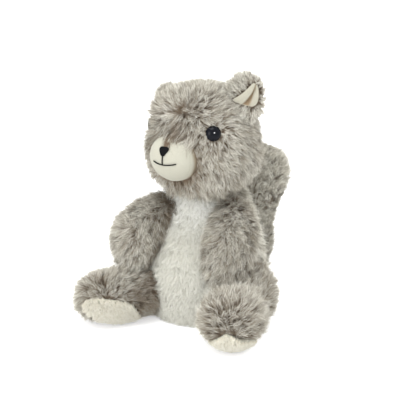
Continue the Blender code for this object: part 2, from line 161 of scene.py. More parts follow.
def surfacePoint(shape, a, b):
    # tube: oval section of place a at angle b; ball: rounded box radius along polar angle a and turn b
    a, b = np.broadcast_arrays(np.asarray(a, float), np.asarray(b, float))
    flat, turn = a.ravel(), b.ravel()[:, None]
    if shape["kind"] == "tube":
        centre, side, lift, _, wide, high = tubeFrame(shape, flat)
        points = centre + side * wide[:, None] * np.cos(turn) + lift * high[:, None] * np.sin(turn)
    else:
        theta = flat[:, None] * math.pi
        direction = np.concatenate([np.sin(theta) * np.cos(turn), np.sin(theta) * np.sin(turn), np.cos(theta)], -1)
        points = inHead(headPoint(direction))
    return points.reshape(*a.shape, 3)


def headPoint(direction):
    # rounded box radius along a direction in the head's frame, a little fuller at the cheeks
    sizes = np.array(headShape["sizes"])
    local = direction * (np.abs(direction / sizes) ** headShape["power"]).sum(-1, keepdims=True) ** (
        -1 / headShape["power"])
    height = np.clip(local[..., 2:] / sizes[2], -1, 1)
    below = np.clip(-height, 0, 1)
    width = 1 + headShape["fuller"] * (4 * below * (1 - below) - np.clip(height, 0, 1))
    return np.concatenate([local[..., :2] * width, local[..., 2:]], -1)


def roundedOutline(corners, sharpness=7.0):
    # closed outline round the middle of a polygon: per direction, a soft least of the distances to its edges
    corners = np.asarray(corners, float)
    edge = np.roll(corners, -1, axis=0) - corners
    normal = unit(np.stack([edge[:, 1], -edge[:, 0]], -1))
    distance = (normal * corners).sum(-1)
    normal, distance = normal * np.sign(distance)[:, None], np.abs(distance)
    angle = np.arctan2(normal[:, 1], normal[:, 0])

    def reach(turn):
        facing = np.maximum(np.cos(turn[..., None] - angle) / distance, 0)
        return (facing ** sharpness).sum(-1) ** (-1 / sharpness)

    return reach


def tangents(shape, a, b, step):
    # differences of the surface along its places and round its turns
    after, before = np.clip(a + step, 1e-4, 0.9999), np.clip(a - step, 1e-4, 0.9999)
    return (surfacePoint(shape, after, b) - surfacePoint(shape, before, b),
            surfacePoint(shape, a, b + step) - surfacePoint(shape, a, b - step))


def skinGrid(shape, inset, along, around):
    # grid of points under the fur outline, moved in along the outline's normals, with those normals
    places = (1 - np.cos(np.pi * (np.arange(along) + 0.5) / along)) / 2
    turns = 2 * np.pi * np.arange(around) / around
    a, b = np.meshgrid(places, turns, indexing="ij")
    p = surfacePoint(shape, a, b)
    n = unit(np.cross(*tangents(shape, a, b, 0.003)))
    middle = p.mean(1, keepdims=True)
    if ((p - middle) * n).sum() < 0:
        n = -n
    inset = inset(p, n)[..., None] if callable(inset) else inset
    return p - n * inset, n, a, b


def insideMeasure(shape, points, inset=0.0):
    # below 1 inside the shape: least over its stations of the oval radius, or the rounded box measure
    if shape["kind"] == "ball":
        local = toHead(points) / (np.array(headShape["sizes"]) - inset)
        return (np.abs(local) ** headShape["power"]).sum(-1) ** (1 / headShape["power"])
    count = 26
    edges = (1 - np.cos(np.pi * np.arange(count + 1) / count)) / 2
    centre, side, lift, ahead, wide, high = tubeFrame(shape, (edges[1:] + edges[:-1]) / 2)
    lengths = np.linalg.norm(np.diff(easedRows(shape["rows"], edges)[:, :3], axis=0), axis=1)
    best = np.full(len(points), 9.0)
    for k in range(count):
        d = points - centre[k]
        x, y = d @ side[k] / max(wide[k] - inset, 1e-3), d @ lift[k] / max(high[k] - inset, 1e-3)
        z = np.abs(d @ ahead[k]) / (lengths[k] * 0.62)
        best = np.minimum(best, np.maximum(np.hypot(x, y), z))
    return best


def meshFrom(name, points, corners, counts, uv=None):
    # mesh of whole arrays: places, the vertex of each corner, and how many corners each face has
    mesh = bpy.data.meshes.new(name)
    mesh.vertices.add(len(points))
    mesh.vertices.foreach_set("co", np.ascontiguousarray(points, np.float32).ravel())
    mesh.loops.add(len(corners))
    mesh.loops.foreach_set("vertex_index", np.ascontiguousarray(corners, np.int32))
    mesh.polygons.add(len(counts))
    mesh.polygons.foreach_set("loop_start", np.concatenate([[0], np.cumsum(counts)[:-1]]).astype(np.int32))
    if uv is not None:
        mesh.uv_layers.new(name="OFBake").data.foreach_set("uv", np.ascontiguousarray(uv, np.float32).ravel())
    mesh.update(calc_edges=True)
    mesh.polygons.foreach_set("use_smooth", np.ones(len(counts), bool))
    mesh.validate()
    return mesh


def paintTintAndShade(mesh, seam):
    # the share of tint at each vertex: a seam's tan and painted shade
    mesh.attributes.new("seam", "FLOAT", "POINT").data.foreach_set("value", seam.astype(np.float32))


def addPiece(name, mesh, material, replaced=()):
    # an object of the one body, with its finish and the solids that it stands for
    piece = bpy.data.objects.new(name, mesh)
    bpy.context.collection.objects.link(piece)
    mesh.materials.append(material)
    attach(piece, "root")
    if replaced:
        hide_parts(*replaced)
    return piece


def closedGrid(points, first, last):
    # quads round a tube of rings, with a fan of triangles to a point at each end, faces outwards
    count, around = points.shape[:2]
    i, j = np.meshgrid(np.arange(count - 1), np.arange(around), indexing="ij")
    k = (j + 1) % around
    here, there = i * around, (i + 1) * around
    quads = np.stack([here + j, here + k, there + k, there + j], -1).reshape(-1, 4)
    ring = np.arange(around)
    after = (ring + 1) % around
    top = np.stack([np.full(around, count * around), after, ring], -1)
    low = (count - 1) * around
    bottom = np.stack([np.full(around, count * around + 1), low + ring, low + after], -1)
    vertices = np.concatenate([points.reshape(-1, 3), [first, last]])
    a, b, c = vertices[quads[:, 0]], vertices[quads[:, 1]], vertices[quads[:, 2]]
    volume = (np.cross(b - a, c - a) * (a - vertices.mean(0))).sum()
    if volume < 0:
        quads, top, bottom = quads[:, ::-1], top[:, ::-1], bottom[:, ::-1]
    corners = np.concatenate([quads.ravel(), top.ravel(), bottom.ravel()])
    counts = np.concatenate([np.full(len(quads), 4), np.full(2 * around, 3)])
    return vertices, corners, counts


def newMaterial(name, roughness, sheen=0.0, specular=0.5):
    # matt or shiny surface, with its nodes to add to
    material = bpy.data.materials.new(name)
    material.use_nodes = True
    nodes, links = material.node_tree.nodes, material.node_tree.links
    shader = nodes["Principled BSDF"]
    shader.inputs["Roughness"].default_value = roughness
    shader.inputs["Specular IOR Level"].default_value = specular
    shader.inputs["Sheen Weight"].default_value = sheen
    shader.inputs["Sheen Roughness"].default_value = 0.5
    return material, nodes, links, shader


def addNodes(nodes, *kinds):
    return [nodes.new("ShaderNode" + kind) for kind in kinds]


def wire(links, *pairs):
    for start, end in pairs:
        links.new(start, end)


def newGroup(name, inputs, outputs):
    # node group with the named sockets, and its two end nodes
    group = bpy.data.node_groups.new(name, "ShaderNodeTree")
    for way, sockets in (("INPUT", inputs), ("OUTPUT", outputs)):
        for label, kind in sockets.items():
            group.interface.new_socket(label, in_out=way, socket_type="NodeSocket" + kind)
    return group, group.nodes, group.links, group.nodes.new("NodeGroupInput"), group.nodes.new("NodeGroupOutput")


def socketMix(nodes, links, factor, a, b):
    # colour between a and b by a factor; each is a socket or a value
    mix = nodes.new("ShaderNodeMix")
    mix.data_type = "RGBA"
    for socket, value in ((mix.inputs["Factor"], factor), (mix.inputs[6], a), (mix.inputs[7], b)):
        if isinstance(value, bpy.types.NodeSocket):
            links.new(value, socket)
        else:
            socket.default_value = value
    return mix.outputs[2]


def makePileGroup():
    # colour along a strand: root shade to tip shade by v, tip shade between dark and light by u
    group, nodes, links, inputs, outputs = newGroup(
        "pileColour", {"Root": "Color", "Dark Tip": "Color", "Light Tip": "Color"}, {"Color": "Color"})
    uvMap, split, ease = addNodes(nodes, "UVMap", "SeparateXYZ", "MapRange")
    uvMap.uv_map = "OFBake"
    ease.interpolation_type = "SMOOTHSTEP"
    ease.inputs["From Min"].default_value = 0.17
    ease.inputs["From Max"].default_value = 0.92
    wire(links, (uvMap.outputs[0], split.inputs[0]), (split.outputs[1], ease.inputs["Value"]))
    tip = socketMix(nodes, links, split.outputs[0], inputs.outputs["Dark Tip"], inputs.outputs["Light Tip"])
    links.new(socketMix(nodes, links, ease.outputs[0], inputs.outputs["Root"], tip), outputs.inputs[0])
    return group


def makeNapGroup():
    # fine fibre speckle on object coordinates: a mask of two noises and a bump height
    group, nodes, links, inputs, outputs = newGroup(
        "shortNap", {"Scale": "Float"}, {"Mask": "Float", "Height": "Float"})
    place, fine, broad, add, half = addNodes(nodes, "TexCoord", "TexNoise", "TexNoise", "Math", "Math")
    for noise, detail in ((fine, 3.0), (broad, 2.0)):
        links.new(place.outputs["Object"], noise.inputs["Vector"])
        noise.inputs["Detail"].default_value = detail
    broad.inputs["Scale"].default_value = 60.0
    add.operation, half.operation = "MULTIPLY_ADD", "MULTIPLY"
    add.inputs[1].default_value = half.inputs[1].default_value = 0.5
    wire(links, (inputs.outputs["Scale"], fine.inputs["Scale"]), (fine.outputs["Fac"], add.inputs[0]),
         (broad.outputs["Fac"], half.inputs[0]), (half.outputs[0], add.inputs[2]),
         (add.outputs[0], outputs.inputs["Mask"]), (fine.outputs["Fac"], outputs.inputs["Height"]))
    return group


pileGroup, napGroup = makePileGroup(), makeNapGroup()


def pileMaterial(name, root, darkTip, lightTip, sheen=0.1):
    material, nodes, links, shader = newMaterial(name, 0.85, sheen, 0.15)
    group = nodes.new("ShaderNodeGroup")
    group.node_tree = pileGroup
    for label, colour in (("Root", root), ("Dark Tip", darkTip), ("Light Tip", lightTip)):
        group.inputs[label].default_value = (*colour, 1)
    links.new(group.outputs[0], shader.inputs["Base Color"])
    return material


def napMaterial(name, low, high, scale, bump, tint=None, sheen=0.25, shine=0.12):
    # short cloth: two shades by the nap mask, a tint where the piece's own seam attribute says so (the muzzle
    # seam's tan, partly painted shade, and the painted fold shadow of an ear lining), and fine bump
    material, nodes, links, shader = newMaterial(name, 0.9, sheen, shine)
    group = nodes.new("ShaderNodeGroup")
    group.node_tree = napGroup
    group.inputs["Scale"].default_value = scale
    colour = socketMix(nodes, links, group.outputs["Mask"], (*low, 1), (*high, 1))
    if tint:
        seam = nodes.new("ShaderNodeAttribute")
        seam.attribute_name = "seam"
        colour = socketMix(nodes, links, seam.outputs["Fac"], colour, (*tint, 1))
    links.new(colour, shader.inputs["Base Color"])
    lumps = nodes.new("ShaderNodeBump")
    lumps.inputs["Strength"].default_value = bump
    lumps.inputs["Distance"].default_value = 0.0004
    links.new(group.outputs["Height"], lumps.inputs["Height"])
    links.new(lumps.outputs[0], shader.inputs["Normal"])
    return material


furLook = dict(root=(0.19, 0.14, 0.095), darkTip=(0.42, 0.385, 0.31), lightTip=(0.91, 0.90, 0.815))
whiteLook = dict(root=(0.76, 0.75, 0.67), darkTip=(0.88, 0.88, 0.81), lightTip=(1.0, 1.0, 0.955))
greyFur = pileMaterial("greyFur", **furLook)
whitePile = pileMaterial("whitePile", **whiteLook)
creamNap = pileMaterial("creamNap", (0.74, 0.70, 0.58), (0.84, 0.81, 0.70), (0.93, 0.92, 0.85))
furBacking = napMaterial("furBacking", (0.20, 0.165, 0.125), (0.29, 0.245, 0.19), 900.0, 0.5, sheen=0.0)
whiteBacking = napMaterial("whiteBacking", (0.74, 0.73, 0.66), (0.82, 0.81, 0.74), 900.0, 0.5)
# its tint is the muzzle seam's tan, partly painted shade, and the painted shadow in the ear linings' folds
creamVelour = napMaterial("creamVelour", (0.45, 0.44, 0.36), (0.545, 0.535, 0.45), 1500.0, 0.5,
                          tint=(0.27, 0.20, 0.125), sheen=0.12)
print("materials made")


def withPoles(grid):
    # the grid with one more ring at each end, all at the middle of the end ring
    points, normals, places, turns = grid
    for end in (0, -1):
        at = 0 if end == 0 else len(points)
        points = np.insert(points, at, points[end].mean(0), 0)
        normals = np.insert(normals, at, unit(normals[end].mean(0)), 0)
        places, turns = np.insert(places, at, places[end], 0), np.insert(turns, at, turns[end], 0)
    return points, normals, places, turns


def sampleGrid(grid, count, rng):
    # random spots on a grid of rings, even by area: a cell by its area, then a blend of its corners
    points, normals, places, turns = grid
    p, n = np.concatenate([points, points[:, :1]], 1), np.concatenate([normals, normals[:, :1]], 1)
    a, b = np.concatenate([places, places[:, :1]], 1), np.concatenate([turns, turns[:, :1] + 2 * np.pi], 1)
    area = norm(np.cross(p[1:, 1:] - p[:-1, :-1], p[1:, :-1] - p[:-1, 1:]))
    share = np.cumsum(area.ravel()) / area.sum()
    cell = np.searchsorted(share, (np.arange(count) + rng.uniform(size=count)) / count).clip(0, area.size - 1)
    i, j = np.unravel_index(cell, area.shape)
    s, t = rng.uniform(size=(2, count, 1))

    def blend(g):
        return (1 - s) * ((1 - t) * g[i, j] + t * g[i, j + 1]) + s * ((1 - t) * g[i + 1, j] + t * g[i + 1, j + 1])

    return blend(p), unit(blend(n)), blend(a[..., None])[:, 0], blend(b[..., None])[:, 0]


def growFur(name, grid, material, look, flow, keep=None, trim=None, shade=None, whorlsAndShadePatches=(), clear=None,
            upright=None):
    # tufts of tapered ribbons: each tuft bends from its root along the nap, and its strands lean to its middle
    rng = np.random.default_rng(look["seed"])
    root, normal, places, turns = sampleGrid(grid, look["tufts"], rng)
    if keep is not None:
        kept = keep(root, places, turns)
        root, normal, places, turns = root[kept], normal[kept], places[kept], turns[kept]
    count, each = len(root), look["strands"]
    nap = flow(root, normal)
    nap = unit(nap - normal * (nap * normal).sum(-1, keepdims=True))
    swirl = np.stack([softNoise(root, look["swirlSize"], look["seed"] + k) for k in (1, 2, 3)], -1)
    tousled, dark = np.zeros(count), np.zeros(count)
    # darker round each spot: the roots showing at a whorl, and painted shade patches
    for spot, size, amount in whorlsAndShadePatches:
        near = bell(norm(root - np.array(spot)), size)
        tousled, dark = np.maximum(tousled, near), np.maximum(dark, amount * near)
    nap = nap + look["swirl"] * swirl + rng.normal(size=(count, 3)) * (look["stray"] + 0.7 * tousled)[:, None]
    nap = unit(nap - normal * (nap * normal).sum(-1, keepdims=True))
    across = np.cross(normal, nap)
    length = look["length"] * (1 + look["uneven"] * rng.normal(size=count)).clip(0.6, 1.35)
    trimmed = np.ones(count) if trim is None else trim(root, places, turns)
    length = length * trimmed
    lean = look["lean"] + look["leanSpread"] * rng.normal(size=count) + 12 * (1 - trimmed) - 18 * tousled
    lean = np.radians(lean).clip(0.1, 1.4)
    if upright is not None:
        lean = np.maximum(lean - upright(root), 0.1)
    bend = 0.22 * rng.normal(size=count)
    tone = 0.5 + look["tone"] * rng.normal(size=count) + 0.13 * softNoise(root, 0.03, look["seed"])
    shaded = (0 if shade is None else shade(root)) - dark
    tone = tone + shaded

    who = np.repeat(np.arange(count), each)
    total = len(who)
    place = rng.normal(scale=look["spread"], size=(total, 2))
    strandRoot = root[who] + nap[who] * place[:, :1] + across[who] * place[:, 1:]
    ownLength = length[who] * (1 + 0.13 * rng.normal(size=total)).clip(0.6, 1.3)
    stray = rng.normal(scale=0.11, size=(total, 3))
    levels = []
    for s in (0.0, 0.52, 1.0):
        rise = np.cos(lean) * (s + 0.45 * s * (1 - s))
        run = np.sin(lean) * s ** 1.5
        middle = normal * rise[:, None] + nap * run[:, None] + across * (bend * s * s)[:, None]
        point = strandRoot + middle[who] * ownLength[:, None]
        point -= (strandRoot - root[who]) * (look["clump"] * s ** 1.2)
        point += stray * (ownLength * s ** 1.5)[:, None]
        levels.append(point if clear is None else clear(point, s))
    heading = unit(levels[2] - levels[0])
    width = unit(np.cross(heading, unit(normal[who] + rng.normal(scale=0.3, size=(total, 3)))))
    thick = look["width"] * rng.uniform(0.7, 1.25, size=total)
    vertices = np.empty((total, 5, 3))
    for k, part in enumerate((1.0, 0.8)):
        offset = width * (thick * part / 2)[:, None]
        vertices[:, 2 * k], vertices[:, 2 * k + 1] = levels[k] - offset, levels[k] + offset
    vertices[:, 4] = levels[2]
    vertices[..., 2] = np.maximum(vertices[..., 2], hairFloor)
    pattern = np.array([0, 1, 3, 2, 2, 3, 4])
    corners = (np.arange(total)[:, None] * 5 + pattern).ravel()
    counts = np.tile([4, 3], total)
    shadeU = (tone[who] + look["streak"] * rng.normal(size=total)).clip(0.02, 0.98)
    sides = np.array([-1, 1, -1, 1, 0]) * 0.006
    along = np.array([0.01, 0.01, 0.52, 0.52, 0.99])
    # a shaded strand keeps more of its root colour, and a pale one less
    deep, pale = 0.85 * np.clip(-shaded, 0, 0.9)[who][:, None], 1.1 * np.clip(shaded, 0, 0.6)[who][:, None]
    uvPoint = np.stack([shadeU[:, None] + sides, 1 - (1 - along * (1 - deep)) * (1 - pale)], -1)
    uv = uvPoint[:, pattern].reshape(-1, 2)
    mesh = meshFrom(name, vertices.reshape(-1, 3), corners, counts, uv)
    print(name, count, "tufts,", total * 3, "triangles")
    addPiece(name, mesh, material)


def addSkin(name, shape, inset, along, around, material, replaced):
    # the cloth under the fur, with the grid that its fur grows on
    points, normals, places, turns = skinGrid(shape, inset, along, around)
    points[..., 2] = np.maximum(points[..., 2], clothFloor)
    first, last = points[0].mean(0), points[-1].mean(0)
    mesh = meshFrom(name, *closedGrid(points, first, last))
    piece = addPiece(name, mesh, material, replaced)
    return withPoles((points, normals, places, turns))


furDepth = 0.0068
earDepth = 0.0042
eyeClear = 0.0081
eyeAngle, eyeRise = math.radians(48.5), 0.285
eyeDirs = [unit(np.array([s * math.sin(eyeAngle), math.cos(eyeAngle), eyeRise])) for s in (1, -1)]
eyeSpots = [inHead(headPoint(d)) for d in eyeDirs]


def muzzleMeasure(points, grow=0.0):
    # below 1 inside the muzzle's ellipsoid
    return norm((toHead(points) - muzzleMiddle) / (muzzleSizes + grow))


def outside(*names, inset=0.006):
    # true for points outside all the named shapes, each drawn in by the inset
    def keep(points):
        kept = np.ones(len(points), bool)
        for n in names:
            kept &= insideMeasure(shapes[n], points, inset) > 1
        return kept

    return keep


def paintedCreaseShade(names, amount, even):
    # painted shade: darker where a part lies against its neighbours, on top of an even painted lightening or
    # darkening of the whole part
    def shade(points):
        near = np.zeros(len(points))
        for n in names:
            near = np.maximum(near, 1 - smooth(0.95, 1.25, insideMeasure(shapes[n], points)))
        return even - amount * near

    return shade


panelPower = 3.6  # squareness of a tapered panel


def panelMiddle(name, panel):
    # the point on the shape at a panel's middle
    return surfacePoint(shapes[name], np.array(panel["middle"][0]), np.array(panel["middle"][1]))


def panelMeasure(panel, places, turns):
    # below 1 inside a panel's outline, in its own reach along and round the part
    along = (places - panel["middle"][0]) / panel["reach"][0]
    turn = (turns - panel["middle"][1] + np.pi) % (2 * np.pi) - np.pi
    across = turn / panel["reach"][1]
    if "taper" in panel:
        across = across / (1 - panel["taper"] * along.clip(-1, 1))
        return (np.abs(along) ** panelPower + np.abs(across) ** panelPower) ** (1 / panelPower)
    return np.hypot(along, across) / panel["outline"](np.arctan2(across, along))


def addPanel(name, shape, panel, layer, material, replaced, rings=10, around=56, crown=None, tint=None):
    # closed pad on a stuffed shape: rings out to the panel's outline, from one distance off the surface to another
    turn = 2 * np.pi * np.arange(around) / around
    spread = (np.arange(1, rings + 1) / rings)[:, None]
    if "taper" in panel:
        size = (np.abs(np.cos(turn)) ** panelPower + np.abs(np.sin(turn)) ** panelPower) ** (-1 / panelPower)
    else:
        size = panel["outline"](turn)
    along, across = size * np.cos(turn), size * np.sin(turn)
    if "taper" in panel:
        across = across * (1 - panel["taper"] * along)
    a = panel["middle"][0] + panel["reach"][0] * np.concatenate([[[0] * around], spread * along])
    b = panel["middle"][1] + panel["reach"][1] * np.concatenate([[[0] * around], spread * across])
    p = surfacePoint(shape, a, b)
    n = unit(np.cross(*tangents(shape, a, b, 0.004)[::-1]))
    distance = np.concatenate([[0], spread[:, 0]])[:, None]
    low, high = layer
    lift = np.full((rings + 1, around), high)
    if crown is not None:
        lift = lift + crown(distance, a, b)
    top, bottom = p + n * lift[..., None], p + n * low
    points = np.concatenate([top[1:], bottom[:0:-1]])
    points[..., 2] = np.maximum(points[..., 2], clothFloor)
    mesh = meshFrom(name, *closedGrid(points, top[0].mean(0), bottom[0].mean(0)))
    # painted shade where the panel is given it, as in the ear linings' folds
    if tint is not None:
        shown = tint(distance, a, b)
        paintTintAndShade(mesh, np.concatenate([shown[1:].ravel(), shown[:0:-1].ravel(), shown[0, :1], shown[0, :1]]))
    return addPiece(name, mesh, material, replaced), (top, n, a, b)


# head
headLook = dict(seed=11, tufts=5000, strands=13, length=0.0108, uneven=0.12, lean=53, leanSpread=8, stray=0.20,
                swirl=0.34, swirlSize=0.024, spread=0.0014, clump=0.42, width=0.00052, tone=0.20, streak=0.34)


def headInset(p, n):
    # the cloth lies deeper than the fur outline, less so behind the eyes
    near = np.minimum(*[norm(p - spot) for spot in eyeSpots])
    return furDepth - 0.0018 * (1 - smooth(0.006, 0.016, near))


def headFlow(points, normals):
    # away from the forehead whorl, down the cheeks, and out from the eyes and the muzzle
    local = toHead(points)
    d = unit(local)
    whorl = unit(np.array([0.10, 0.72, 0.62]))
    v = unit(d - whorl) * 0.9 - np.array([0, 0, 0.75]) * (1 - smooth(0.50, 0.68, d[:, 2:]))
    for eye in eyeDirs:
        gap = norm(d - eye, True)
        v += unit(d - eye) * 1.8 * bell(gap, 0.42)
    nose = unit(muzzleMiddle)
    gap = norm(d - nose, True)
    peak = smooth(0.10, 0.30, d[:, 2:] - nose[2]) * (1 - smooth(0.15, 0.50, np.abs(d[:, :1] - 0.02)))
    peak = peak * (1 - smooth(0.42, 0.60, d[:, 2:]))
    v += unit(d - nose) * (2.2 * bell(gap, 0.6) * (1 - peak) - 1.6 * peak)
    return v @ headAxes


def inner(local):
    # 1 on the muzzle's side of the far eye
    return smooth(0.004, 0.008, local[:, 0] - toHead(eyeSpots[1])[0])


def headTrim(points, places, turns):
    # short round the eyes, at the sides of the muzzle's seam and on the crown; long at the chin
    local = toHead(points)
    seam = (muzzleMeasure(points) - 1) * 0.022
    crown = smooth(0.040, 0.052, local[:, 2])
    peak = smooth(-0.004, 0.010, local[:, 2])
    chin = smooth(0.020, 0.040, -local[:, 2]) * smooth(0.0, 0.02, local[:, 1])
    near, far = (norm(points - spot) for spot in eyeSpots)
    screen = 1 + 0.12 * inner(local) * bell(far - 0.0185, 0.006)
    nearTrim = 0.45 + 0.55 * smooth(0.009, 0.020, near)
    farTrim = 0.45 + 0.55 * smooth(0.009, 0.020 - 0.006 * inner(local), far)
    seamTrim = 1 - (0.35 - 0.60 * peak) * (1 - smooth(0.0, 0.012, seam))
    return nearTrim * farTrim * screen * seamTrim * (1 - 0.28 * crown) * (1 + 0.30 * chin)


def headShade(points):
    # painted light on the crown, where the top light falls; browner under the chin, in the corners beside the
    # muzzle and at the peak above it
    local = toHead(points)
    crown = smooth(0.034, 0.050, local[:, 2])
    chin = smooth(0.022, 0.042, -local[:, 2])
    seam = 1 - smooth(0.0, 0.006, (muzzleMeasure(points) - 1) * 0.022)
    top = muzzleSizes[2] - muzzleShape["drop"] + 0.006
    above = local - np.array([0.002, muzzleShape["forward"], top])
    brow = np.exp(-((above[:, 0] - 0.002) / 0.009) ** 2 - (above[:, 2] / 0.009) ** 2) * (local[:, 1] > 0)
    tip = np.exp(-((above[:, 0] - 0.001) / 0.0045) ** 2 - ((above[:, 2] + 0.005) / 0.006) ** 2) * (local[:, 1] > 0)
    return 0.10 * crown - 0.10 * chin - 0.22 * seam - 0.32 * brow - 0.75 * tip


def headKeep(points, places, turns):
    # clear of the torso, the eyes and the muzzle
    near, far = (norm(points - spot) for spot in eyeSpots)
    return outside("torso")(points) & (near > eyeClear) & (far > eyeClear) & (muzzleMeasure(points, 0.0005) > 1)


def offMuzzle(points, s):
    # a strand that would pass through the muzzle lies on it
    local = toHead(points) - muzzleMiddle
    measure = norm(local / muzzleSizes, True)
    way = local / muzzleSizes / np.maximum(measure, 0.3)
    # the peak: above the nose the hair comes forward over the top, a little less to its left
    peak = (1.3 * bell(local[:, 0] - 0.002, 0.0055) + 0.20 * smooth(0.0, 0.006, local[:, 0])
            * (1 - smooth(0.018, 0.024, local[:, 0]))) * smooth(0.002, 0.010, local[:, 2])
    way = unit(way + (s * peak)[:, None] * np.array([0, 1.0, 0]))
    proud = 1.02 + 0.03 * s
    return np.where(measure < proud, inHead(way * muzzleSizes * proud + muzzleMiddle), points)


def headUpright(points):
    # the crown's hair stands up, and so does the hair before the far eye
    local = toHead(points)
    far = norm(points - eyeSpots[1])
    return 0.45 * smooth(0.030, 0.050, local[:, 2]) + 0.62 * inner(local) * bell(far - 0.0180, 0.0065)


headGrid = addSkin("headSkin", shapes["head"], headInset, 44, 72, furBacking, ("head",))
headWhorls = (((0.0094, -0.0508, 0.2180), 0.008, 0.18), ((0.0215, -0.0562, 0.2045), 0.005, 0.15),
              ((0.0057, -0.0565, 0.2050), 0.006, 0.15), ((0.0277, -0.0208, 0.2309), 0.005, 0.15))
growFur("headFur", headGrid, greyFur, headLook, headFlow, headKeep, headTrim, headShade, headWhorls,
        offMuzzle, headUpright)

# muzzle, nose, mouth and eyes
face = dict(aside=0.0016, noseRise=0.0098, noseHalf=(0.0052, 0.0044), thread=0.0012, smileHalf=0.0125,
            smileLift=0.0018, smileAside=0.0026, smileRise=-0.0030, pinch=0.0006,
            pucker=0.0005, soft=0.0003, gap=0.0003)
threadBlack = napMaterial("threadBlack", (0.004, 0.004, 0.0045), (0.014, 0.014, 0.015), 3000.0, 0.25,
                          sheen=0.0, shine=0.04)


def muzzlePoint(across, rise, proud=0.0):
    # point on the muzzle's front, across and above its centre, and proud of it
    wide, thick, high = muzzleSizes
    across, rise = np.broadcast_arrays(np.asarray(across, float), np.asarray(rise, float))
    deep = thick * np.sqrt(np.maximum(1 - (across / wide) ** 2 - (rise / high) ** 2, 0))
    local = np.stack([across, deep, rise], -1)
    normal = unit(local / muzzleSizes ** 2)
    proud = np.asarray(proud)[..., None] if np.ndim(proud) else proud
    return inHead(local + normal * proud + muzzleMiddle)


def smileCurve(across):
    # parabola, lifted at both ends
    return face["smileRise"] + face["smileLift"] * (across / face["smileHalf"]) ** 2


def makeMuzzle(rings=80, around=120):
    # ellipsoid, drawn in a little along the mouth and under the nose
    theta = (np.pi * np.arange(1, rings) / rings)[:, None]
    turn = (2 * np.pi * np.arange(around) / around)[None]
    way = np.stack([np.sin(theta) * np.cos(turn), np.sin(theta) * np.sin(turn), np.cos(theta) + 0 * turn], -1)
    facing = np.hypot(way[..., 0], way[..., 2])
    square = (np.abs(way[..., 0]) ** 2.4 + np.abs(way[..., 2]) ** 2.4) ** (-1 / 2.4) * facing
    local = way * muzzleSizes * (1 + (square[..., None] - 1) * np.array([1, 0, 1]) * (way[..., 2:] > 0))
    across, rise = local[..., 0] - face["aside"], local[..., 2]
    front = local[..., 1] > 0
    lipSide = local[..., 0] - face["smileAside"]
    lip = bell(rise - smileCurve(lipSide), 0.0013)
    lip = lip * (1 - smooth(0.9, 1.15, np.abs(lipSide) / face["smileHalf"]))
    cleft = bell(across, 0.0012) * smooth(-0.004, -0.001, rise) * (1 - smooth(0.006, 0.010, rise))
    normal = unit(local / muzzleSizes ** 2)
    local = local - normal * (face["pinch"] * np.maximum(lip, cleft) * front)[..., None]
    edge = insideMeasure(shapes["head"], inHead(local.reshape(-1, 3) + muzzleMiddle)).reshape(lip.shape)
    pucker = bell(edge - 1.03, 0.045) * (0.5 + 0.5 * np.sin(38 * turn + 2.0 * np.sin(5 * turn)))
    soft = softNoise(local.reshape(-1, 3), 0.016, 71).reshape(lip.shape)
    local = local - normal * (face["pucker"] * pucker + face["soft"] * soft)[..., None]
    poles = inHead(np.array([[0, 0, muzzleSizes[2]], [0, 0, -muzzleSizes[2]]]) + muzzleMiddle)
    vertices, corners, counts = closedGrid(inHead(local + muzzleMiddle), *poles)
    mesh = meshFrom("muzzle", vertices, corners, counts)
    # a tan tint where the muzzle sinks into the head's fur: partly the seam's colour, partly painted shade of the
    # crease there
    paintTintAndShade(mesh, 0.85 * (1 - smooth(0.955, 1.035, insideMeasure(shapes["head"], vertices))))
    addPiece("muzzlePad", mesh, creamVelour, ("muzzle",))


def makeNose(rings=20, around=96):
    # rounded triangle, crowned, with the ridges of its satin stitches
    turn = 2 * np.pi * np.arange(around) / around
    size = 1 / (1 - 0.15 * np.cos(3 * (turn + np.pi / 2)))
    size = size / size.max() * 1.08
    spread = (np.arange(1, rings + 1) / rings)[:, None]
    across = face["aside"] + face["noseHalf"][0] * spread * size * np.cos(turn)
    rise = face["noseRise"] + face["noseHalf"][1] * spread * size * np.sin(turn)
    ridge = 0.00010 * np.abs(np.sin(across * np.pi / 0.00085))
    proud = face["gap"] + face["thread"] * (0.45 + 0.55 * np.sqrt(np.clip(1 - spread ** 4, 0, 1))) + ridge
    top, bottom = muzzlePoint(across, rise, proud), muzzlePoint(across, rise, face["gap"])
    middle = (face["aside"], face["noseRise"])
    vertices = closedGrid(np.concatenate([top, bottom[::-1]]), muzzlePoint(*middle, face["gap"] + face["thread"]),
                          muzzlePoint(*middle, face["gap"]))
    addPiece("noseStitch", meshFrom("noseStitch", *vertices), threadBlack, ("nose",))


def twistedTube(points, radius, plies=2, pitch=0.0016, around=16):
    # thread of twisted plies along a line of points: its radius swells and sinks with turn and distance
    ahead = unit(np.gradient(points, axis=0))
    side = unit(np.cross(ahead, headAxes[1]))
    other = np.cross(ahead, side)
    distance = np.concatenate([[0], np.cumsum(np.linalg.norm(np.diff(points, axis=0), axis=1))])
    turn = 2 * np.pi * np.arange(around) / around
    lobes = np.abs(np.cos(plies / 2 * (turn[None] - 2 * np.pi * distance[:, None] / pitch / plies)))
    r = radius * (0.68 + 0.32 * lobes)
    return (points[:, None] + side[:, None] * (r * np.cos(turn))[..., None]
            + other[:, None] * (r * np.sin(turn))[..., None])


